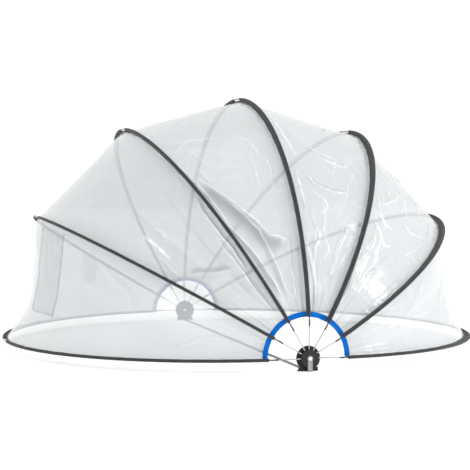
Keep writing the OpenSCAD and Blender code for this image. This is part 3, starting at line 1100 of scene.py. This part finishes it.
    def relief(self, panel: int, share: Array, bend: Array) -> tuple[Array, Array, Array]:
        """Everything that lifts the film off its plain shape.

        Args:
            panel: Number of the panel.
            share: Share of the way from hoop to hoop.
            bend: Bend angles.

        Returns:
            Height outwards, paleness (stress whitening and painted highlight) and doubling (with painted shade), at
            each place.
        """
        first, end = self.ends
        wide = self.spread(panel, bend)
        across, along = (share - 0.5) * wide, bend * self.dome.film_r
        from_edge = np.minimum(share, 1.0 - share) * wide
        from_end = np.minimum(bend - first, end - bend) * self.dome.film_r
        rim = ease(from_edge / 0.05) * ease(from_end / 0.06)
        creased, shift = self.creasing[panel - 1], panel * 17.3
        billow = 0.012 * self.noise(across / 0.62 + shift, along / 0.95)
        billow = billow + 0.006 * self.noise(across / 0.27 + shift, along / 0.45 + shift)
        height = billow * ease(from_edge / 0.30) * ease(from_end / 0.25)
        gathers = self.noise(share * 11.0 + shift, along / 0.9) + 0.5 * self.noise(share * 23.0, along / 0.5 + shift)
        height = height + 0.009 * gathers * np.exp(-from_end / 0.42) * rim
        pucker = self.noise(along / 0.085 + shift, from_edge / 0.30 + shift * (share > 0.5))
        pucker = pucker + 0.6 * self.noise(along / 0.040, from_edge / 0.15 + 3.0 * (share > 0.5))
        height = height + 0.0045 * pucker * np.exp(-from_edge / 0.11) * ease(from_edge / 0.018) * ease(from_end / 0.1)
        bent = across + 0.10 * self.noise(across / 0.5, along / 0.5 + shift)
        net = np.abs(self.noise(bent / 0.20 + shift, along / 0.33)) / 0.10
        where = ease((self.noise(across / 0.8 + shift, along / 1.1) + 0.15) / 0.6)
        ridge = np.exp(-net) * where * creased * rim
        height = height + 0.006 * ridge
        # Painted highlight with stress whitening along the net of fine ridges.
        whitening_and_highlight = 0.12 * ridge
        # Doubled film in the gathers near the hubs, darkened with painted shade.
        double = 0.75 * creased * np.exp(-from_end / 0.28) * np.clip(0.45 + 0.7 * gathers, 0.0, 1.0) * rim
        if panel == self.last:
            double = np.maximum(double, self.patch(share, bend))
        placed = [f for f in self.folds if f.panel == panel] + self.loose_folds(panel)
        for fold in placed:
            lift, pale, fold_doubling_and_shade = self.press(fold, across, along)
            height = height + lift * rim
            whitening_and_highlight = np.maximum(whitening_and_highlight, pale * rim)
            double = np.maximum(double, fold_doubling_and_shade * rim)
        return height, whitening_and_highlight, double

    def sag_at(self, panel: int, share: Array) -> Array:
        """Inward sag of a panel across its width. The skirts sag most two thirds of the way down."""
        if panel in (1, self.last):
            down = share if panel == self.last else 1 - share
            return self.skirt_sags[panel == self.last] * np.sin(math.pi * down**self.sag_skew)
        return self.sag * 4 * share * (1 - share)

    def surface(self, panel: int, share: Array, bend: Array, lift: float = 0.0) -> tuple[Array, Array, Array]:
        """Points of the film, with its paleness (stress whitening and painted highlight) and its doubling (with
        painted shade).

        Args:
            panel: Number of the panel.
            share: Share of the way from hoop to hoop.
            bend: Bend angles.
            lift: Distance outwards from the film.

        Returns:
            Points, paleness (stress whitening and painted highlight) and doubling (with painted shade).
        """
        radius = self.dome.film_edge_r(bend)
        before, after = self.edge(panel - 1, 1, bend, radius), self.edge(panel, -1, bend, radius)
        height, whitening_and_highlight, double = self.relief(panel, share, bend)
        sag = self.sag_at(panel, share) * np.sin(bend)
        part = share[..., None]
        points = before * (1 - part) + after * part
        return points + self.outwards(panel, bend) * (height - sag + lift)[..., None], whitening_and_highlight, double

    def seam(self, hoop: int, face: Face, bend: Array, inwards: float) -> Array:
        """Points of the film where it is sewn flat on a band."""
        flat = self.sleeve.band_t / 2 + 0.0006
        share = self.sleeve.give(inwards)
        side = face.value * flat + share * self.sleeve.wave(hoop, bend)
        return self.dome.on_hoop(hoop, bend, -inwards + share * self.sleeve.edge(hoop, bend), side)

    def weights(self, points: Array, panel: int) -> Array:
        """Share of the way from one hoop to the next at which each point turns with them."""
        angle = np.arctan2(points[:, 2] - self.dome.pivot_h, points[:, 0])
        angle = np.where(angle < -math.pi / 2, angle + 2 * math.pi, angle)
        start, end = self.dome.hoop_angle(panel - 1), self.dome.hoop_angle(panel)
        return np.clip((angle - start) / (end - start), 0.0, 1.0)

    def hang(self, piece: bpy.types.Object, panel: int) -> None:
        """Bakes a piece's placement into its points, works out each point's share of the way between a panel's two
        hoops, and logs the piece.

        Args:
            piece: The piece.
            panel: Number of the panel.
        """
        bodies = self.dome.body(panel - 1), self.dome.body(panel)
        top = np.array([math.pi / 2])
        ends = [self.dome.on_hoop(hoop, top, -self.dome.band_in, 0.0)[0] for hoop in (panel - 1, panel)]
        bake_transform(piece)
        points = np.zeros(len(piece.data.vertices) * 3, np.float32)
        piece.data.vertices.foreach_get("co", points)
        share = self.weights(points.reshape(-1, 3), panel)
        report(piece, " and ".join(bodies))

    def mark(self, piece: bpy.types.Object, whitening_and_highlight: Array, double: Array, panel: int) -> None:
        """Stores the film's paleness (stress whitening and painted highlight), its doubling (with painted shade) and
        its crinkles on its points.
        """
        crinkled = np.full(whitening_and_highlight.shape, self.crinkled[panel - 1])
        for name, values in (("crease_whitening_and_highlight", whitening_and_highlight), ("doubling_and_painted_shade", double), ("crinkled", crinkled)):
            layer = piece.data.attributes.new(name, "FLOAT", "POINT")
            layer.data.foreach_set("value", values.ravel().astype(np.float32))

    def sheet(self, panel: int) -> bpy.types.Object:
        """Makes one panel.

        Args:
            panel: Number of the panel.

        Returns:
            The panel.
        """
        bend = np.linspace(*self.ends, self.rows + 1)
        share = (1 - np.cos(np.linspace(0, math.pi, self.columns + 1))) / 2
        share = 0.35 * share + 0.65 * np.linspace(0, 1, self.columns + 1)
        points, whitening_and_highlight, double = self.surface(panel, share[None, :] + 0 * bend[:, None], bend[:, None] + 0 * share)
        sewn = self.dome.band_in - self.dome.seam_w
        flaps = [
            self.seam(panel - 1, Face.AHEAD, bend, sewn - 0.006),
            self.seam(panel - 1, Face.AHEAD, bend, sewn - 0.002),
            self.seam(panel, Face.BEHIND, bend, sewn - 0.002),
            self.seam(panel, Face.BEHIND, bend, sewn - 0.006),
        ]
        points = np.concatenate([np.stack(flaps[:2], 1), points, np.stack(flaps[2:], 1)], 1)
        skin = Skin()
        place = np.concatenate([[-0.014, -0.006], share * self.spread(panel, np.array(math.pi / 2))])
        place = np.concatenate([place, place[-1] + np.array([0.006, 0.014])])
        skin.grid(points, bend * self.dome.film_r, place)
        piece = skin.build(f"clear_panel_{panel}", [self.clothes.film.material])
        sides = ((0, 0), (2, 2))
        self.mark(piece, np.pad(whitening_and_highlight, sides), np.pad(double, sides), panel)
        return piece

    def build(self) -> None:
        """Makes all the panels."""
        for panel in range(1, self.dome.hoops):
            piece = self.sheet(panel)
            first, end = self.ends
            bend = np.linspace(first, end, 200)
            widest = float(self.spread(panel, np.array(math.pi / 2))) + 0.03
            area = float(np.trapz(self.spread(panel, bend) + 0.03, bend * self.dome.film_r))
            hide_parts(f"film_panel_{panel}")
            self.hang(piece, panel)


@dataclass(frozen=True)
class Bindings:
    """The blue tape folded over the film's edge around each hub, one length for each panel.

    Attributes:
        dome: The dome's sizes.
        clothes: The finishes.
        film: The film that the tape binds.
        tape_t: Thickness of the folded tape over the film.
        steps: Steps along one length of tape.
        stitch_step: Distance from stitch to stitch.
    """

    dome: Dome
    clothes: Wardrobe
    film: FilmPanels
    tape_t: float = 0.003
    steps: int = 48
    stitch_step: float = 0.0075
    noise: Noise = field(default_factory=lambda: Noise(37))

    @property
    def depth(self) -> float:
        """Distance of the tape's middle from the dome's middle, along the pivot line."""
        reach = self.dome.binding_r + self.dome.binding_w / 2 - self.dome.straight_run
        return math.sqrt(self.dome.film_r**2 - reach**2)

    def outline(self) -> Array:
        """The tape's section: distance from the pivot line, and distance out of the tape's plane."""
        inner, outer, half = self.dome.binding_r, self.dome.binding_r + self.dome.binding_w, self.tape_t / 2
        fold = [(inner + half * (1 - math.sin(a)), half * math.cos(a)) for a in np.radians([0, 30, 60, 90])]
        face = [(outer, 0.0), (outer - 0.0004, 0.55 * half), (outer - 0.004, 0.95 * half)]
        face += [(outer - 0.0055, 0.62 * half), (outer - 0.007, half), ((inner + outer) / 2, 1.05 * half)]
        upper = [*face, *fold]
        return np.array(upper + [(r, -y) for r, y in upper[-2:0:-1]])

    def place(self, angle: Array, radius: Array, out: Array, near: int) -> Array:
        """Points around a hub: near is -1 at the near hub and 1 at the far one."""
        angle, radius, out = np.broadcast_arrays(angle, radius, out)
        away = near * (self.depth + out)
        return np.stack([radius * np.cos(angle), away, self.dome.pivot_h + radius * np.sin(angle)], -1)

    def build(self) -> None:
        """Makes the tapes and their stitches."""
        outline = self.outline()
        lengths = np.linalg.norm(np.diff(np.concatenate([outline, outline[:1]]), axis=0), axis=1)
        across = np.concatenate([[0.0], np.cumsum(lengths)])
        for panel in range(1, self.dome.hoops):
            clear = self.film.clear / self.dome.binding_r
            angle = np.linspace(self.dome.hoop_angle(panel - 1) + clear, self.dome.hoop_angle(panel) - clear,
                                self.steps + 1)
            tape, thread = Skin(), Skin()
            for near in (-1, 1):
                ripple = 0.0016 * self.noise(angle * 9.0, 5.0 * near + panel * 3.3)[:, None]
                points = self.place(angle[:, None], outline[:, 0] + 0 * angle[:, None], outline[:, 1] + ripple, near)
                order = slice(None) if near > 0 else slice(None, None, -1)
                index = tape.grid(points[:, order], angle * self.dome.binding_r, across, wrap=True)
                tape.face(index[0])
                tape.face(index[-1][::-1])
                self.sew(thread, panel, angle, near)
            piece = tape.build(f"blue_tape_{panel}", [self.clothes.binding.material], crisp=60.0)
            sewn = thread.build(f"tape_stitching_{panel}", [self.clothes.binding_thread.material])
            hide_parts(f"edge_binding_{panel}")
            for made in (piece, sewn):
                self.film.hang(made, panel)

    def sew(self, skin: Skin, panel: int, angle: Array, near: int) -> None:
        """Adds a row of stitches on both faces of a tape.

        Args:
            skin: Where the stitches go.
            panel: Number of the panel.
            angle: Angles along the tape.
            near: -1 at the near hub and 1 at the far one.
        """
        radius = self.dome.binding_r + self.dome.binding_w - 0.0055
        count = int((angle[-1] - angle[0]) * radius / self.stitch_step)
        turns = angle[0] + (np.arange(count) + 0.5) * (angle[-1] - angle[0]) / count
        ripple = 0.0016 * self.noise(turns * 9.0, 5.0 * near + panel * 3.3)
        along = np.stack([-np.sin(turns), 0 * turns, np.cos(turns)], -1)
        for face in (-1, 1):
            middles = self.place(turns, radius, ripple + face * (0.31 * self.tape_t + 0.0003), near)
            up = np.array([0.0, float(near * face), 0.0]) * np.ones((count, 1))
            skin.solid(stitches(middles, along, up, 0.0048, 0.0011), BAR_FACES)


@dataclass(frozen=True)
class Door:
    """The zipped door in the panel of the left ground hoop: a second layer of film with a zip on three sides.

    Attributes:
        dome: The dome's sizes.
        clothes: The finishes.
        film: The film that the door is in.
        shares: Share of the panel at the door's upper and lower edges.
        bends: Bend angles of the door's two upright edges, in degrees.
        tape_w: Width of the zip's tape.
        lift: Distance of the flap from the film.
        tooth_step: Distance from tooth to tooth.
    """

    dome: Dome
    clothes: Wardrobe
    film: FilmPanels
    shares: tuple[float, float] = (0.04, 0.71)
    bends: tuple[float, float] = (70.0, 83.0)
    tape_w: float = 0.016
    lift: float = 0.005
    tooth_step: float = 0.0042

    @property
    def panel(self) -> int:
        """The panel that the door is in."""
        return self.film.last

    def flap(self) -> bpy.types.Object:
        """Makes the flap.

        Returns:
            The flap.
        """
        share, bend = np.meshgrid(np.linspace(*self.shares, 60), np.radians(np.linspace(*self.bends, 44)))
        points, whitening_and_highlight, double = self.film.surface(self.panel, share, bend, self.lift)
        inner = ease(8 * (share - share.min())) * ease(8 * (share.max() - share))
        inner = inner * ease(20 * (bend - bend.min())) * ease(20 * (bend.max() - bend))
        bulge = 0.010 + 0.006 * self.film.noise(share * 6.0, bend * 26.0)
        points = points + self.film.outwards(self.panel, bend) * (bulge * inner)[..., None]
        skin = Skin()
        wide = float(self.film.spread(self.panel, np.array(math.pi / 2)))
        skin.grid(points, bend[:, 0] * self.dome.film_r, share[0] * wide)
        piece = skin.build("door_flap_film", [self.clothes.flap.material])
        # The whole flap is marked as faintly doubled film, which its material darkens with painted shade.
        self.film.mark(piece, whitening_and_highlight, 0 * double + 0.15, self.panel)
        return piece

    def strip(self, skin: Skin, share: Array, bend: Array, slot: int) -> None:
        """Adds a thin closed tape along a line on the film.

        Args:
            skin: Where the faces go.
            share: Shares of the panel at the line's points.
            bend: Bend angles at the line's points.
            slot: Material slot.
        """
        line, *_ = self.film.surface(self.panel, share, bend, self.lift)
        ahead = np.gradient(line, axis=0)
        ahead = ahead / np.linalg.norm(ahead, axis=1, keepdims=True)
        up = self.film.outwards(self.panel, bend)
        aside = np.cross(ahead, up)
        aside = aside / np.linalg.norm(aside, axis=1, keepdims=True)
        half, thick = self.tape_w / 2, 0.0006
        ring = ((-half, 0.0), (-half, thick), (-0.002, thick), (0.002, thick), (half, thick), (half, 0.0))
        points = np.stack([line + aside * w + up * h for w, h in ring], 1)
        run = np.concatenate([[0.0], np.cumsum(np.linalg.norm(np.diff(line, axis=0), axis=1))])
        index = skin.grid(points, run, np.array([0.0, 0.001, 0.007, 0.011, 0.017, 0.018, 0.034]), True, slot)
        skin.face(index[0], slot)
        skin.face(index[-1][::-1], slot)
        self.coil(skin, line + up * 0.0016, run, ahead, aside, up)

    def coil(self, skin: Skin, line: Array, run: Array, ahead: Array, aside: Array, up: Array) -> None:
        """Adds the teeth along a zip's middle.

        Args:
            skin: Where the teeth go.
            line: Points of the zip's line.
            run: Distance along the line at each.
            ahead: Direction along the line.
            aside: Direction across the tape.
            up: Direction away from the film.
        """
        at = np.arange(self.tooth_step, run[-1] - self.tooth_step, self.tooth_step)

        def along(values: Array) -> Array:
            """Values of the line, read at every tooth."""
            return np.stack([np.interp(at, run, values[:, i]) for i in range(3)], -1)

        skin.solid(stitches(along(line), along(aside), along(up), 0.0065, 0.0026), BAR_FACES, 1)
        skin.solid(stitches(along(line), along(ahead), along(up), 0.004, 0.0014), BAR_FACES, 1)

    def slider(self, skin: Skin) -> None:
        """Adds the zip's slider with its pull tab, at the foot of the right-hand zip."""
        share, bend = np.full(2, self.shares[1] - 0.03), np.radians(self.bends[0]) + np.array([0.0, 1e-3])
        line, *_ = self.film.surface(self.panel, share, bend, self.lift + 0.004)
        up = self.film.outwards(self.panel, bend)[0]
        down = self.film.surface(self.panel, share + 0.01, bend, self.lift)[0][0] - line[0]
        down = down - up * np.dot(down, up)
        down = down / np.linalg.norm(down)
        aside = np.cross(down, up)
        sections = ((0.0, 0.0062, 0.0030), (0.006, 0.0075, 0.0036), (0.014, 0.0065, 0.0034), (0.020, 0.0040, 0.0026))
        tab = ((0.012, 0.0035, 0.0012), (0.020, 0.0050, 0.0012), (0.050, 0.0055, 0.0012), (0.055, 0.0030, 0.0012))
        for rings, rise in ((sections, 0.0), (tab, 0.0046)):
            rounds = np.radians(np.arange(0, 360, 30))
            points = np.stack(
                [
                    line[0] + down * reach + np.outer(np.cos(rounds) * wide, aside)
                    + np.outer(np.sin(rounds) * thick + rise, up)
                    for reach, wide, thick in rings
                ]
            )
            index = skin.grid(points, np.array([r[0] for r in rings]), np.arange(13) * 0.002, True, 1)
            skin.face(index[0], 1)
            skin.face(index[-1][::-1], 1)

    def build(self) -> None:
        """Makes the flap and its zip."""
        flap = self.flap()
        skin = Skin()
        upper, lower = self.shares
        right, left = np.radians(self.bends)
        down = np.linspace(upper, lower, 90)
        self.strip(skin, down, np.full(90, right), 0)
        self.strip(skin, down, np.full(90, left), 0)
        self.strip(skin, np.full(40, lower), np.linspace(right, left, 40), 0)
        self.slider(skin)
        zipper = skin.build("door_zip_tape", [self.clothes.zip_tape.material, self.clothes.zip_teeth.material], 40.0)
        wide = (lower - upper) * float(self.film.spread(self.panel, np.array(math.pi / 2)))
        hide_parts("door_flap")
        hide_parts("door_zip")
        self.film.hang(flap, self.panel)
        self.film.hang(zipper, self.panel)


# --------------------------------------------------------------------------------------------------------------
# Studio
# --------------------------------------------------------------------------------------------------------------


@dataclass(frozen=True)
class Studio:
    """The camera, the floor and the lights.

    Attributes:
        azimuth: Camera's turn around the dome, in degrees.
        elevation: Camera's height angle, in degrees.
        distance: Camera's distance from what it looks at.
        lens: Focal length, in millimetres.
        target: What it looks at.
        floor_half: Half the side of the floor.
        sky_strength: Strength of the pale light from all round.
    """

    azimuth: float = -16.13
    elevation: float = 2.43
    distance: float = 14.269
    lens: float = 103.06
    target: tuple[float, float, float] = (-0.0217, 0.0, 1.1333)
    floor_half: float = 60.0
    sky_strength: float = 1.12

    def camera(self) -> None:
        """Makes the camera and looks through it."""
        turn, rise = math.radians(self.azimuth), math.radians(self.elevation)
        back = Vector((math.sin(turn) * math.cos(rise), -math.cos(turn) * math.cos(rise), math.sin(rise)))
        lens = bpy.data.cameras.new("studio_camera")
        lens.lens = self.lens
        lens.sensor_width = 36.0
        lens.clip_end = 200.0
        made = bpy.data.objects.new("studio_camera", lens)
        made.location = Vector(self.target) + back * self.distance
        made.rotation_euler = back.to_track_quat("Z", "Y").to_euler()
        bpy.context.scene.collection.objects.link(made)
        bpy.context.scene.camera = made

    def softbox(self, name: str, place: Colour, look: Colour, size: tuple[float, float], watts: float) -> None:
        """Adds a rectangular soft light.

        Args:
            name: Name of the light.
            place: Where it stands.
            look: What it points at.
            size: Its width and height.
            watts: Its power.
        """
        light = bpy.data.lights.new(name, "AREA")
        light.shape = "RECTANGLE"
        light.size, light.size_y = size
        light.energy = watts
        made = bpy.data.objects.new(name, light)
        made.location = place
        made.rotation_euler = (Vector(place) - Vector(look)).to_track_quat("Z", "Y").to_euler()
        bpy.context.scene.collection.objects.link(made)

    def floor(self, finish: Finish) -> None:
        """Makes the floor, just below the dome's feet."""
        half = self.floor_half
        steps = np.linspace(-half, half, 25)
        points = np.stack(np.meshgrid(steps, steps, [-0.0005], indexing="ij"), -1)[:, :, 0]
        skin = Skin()
        skin.grid(points, steps, steps)
        made = skin.build("studio_floor", [finish.material])

    def lights(self) -> None:
        """Makes the pale surroundings and the softboxes."""
        world = bpy.data.worlds.new("studio_world")
        world.use_nodes = True
        sky = world.node_tree.nodes["Background"]
        sky.inputs["Color"].default_value = (1.0, 1.0, 1.0, 1.0)
        sky.inputs["Strength"].default_value = self.sky_strength
        bpy.context.scene.world = world
        self.softbox("key_softbox", (7.5, -6.5, 5.5), (0.0, 0.0, 1.0), (0.8, 5.0), 230.0)
        self.softbox("strip_softbox", (3.0, -9.0, 2.6), (0.5, 0.0, 1.0), (0.3, 3.0), 60.0)
        self.softbox("top_softbox", (0.0, -1.0, 8.5), (0.0, 0.0, 0.0), (7.0, 7.0), 90.0)
        bpy.context.scene.view_settings.view_transform = "Standard"


def main() -> None:
    """Builds the scene in order."""
    logging.basicConfig(level=logging.INFO, format="%(name)s: %(message)s")
    studio = Studio()
    studio.camera()
    dome, clothes = Dome.from_frame(), Wardrobe()
    sleeve = Sleeve(dome, clothes)
    film = FilmPanels(dome, clothes, sleeve)
    sleeve.build()
    film.build()
    Bindings(dome, clothes, film).build()
    Door(dome, clothes, film).build()
    clothes.dress_frame()
    studio.floor(clothes.floor)
    studio.lights()


if __name__ == "__main__":
    main()
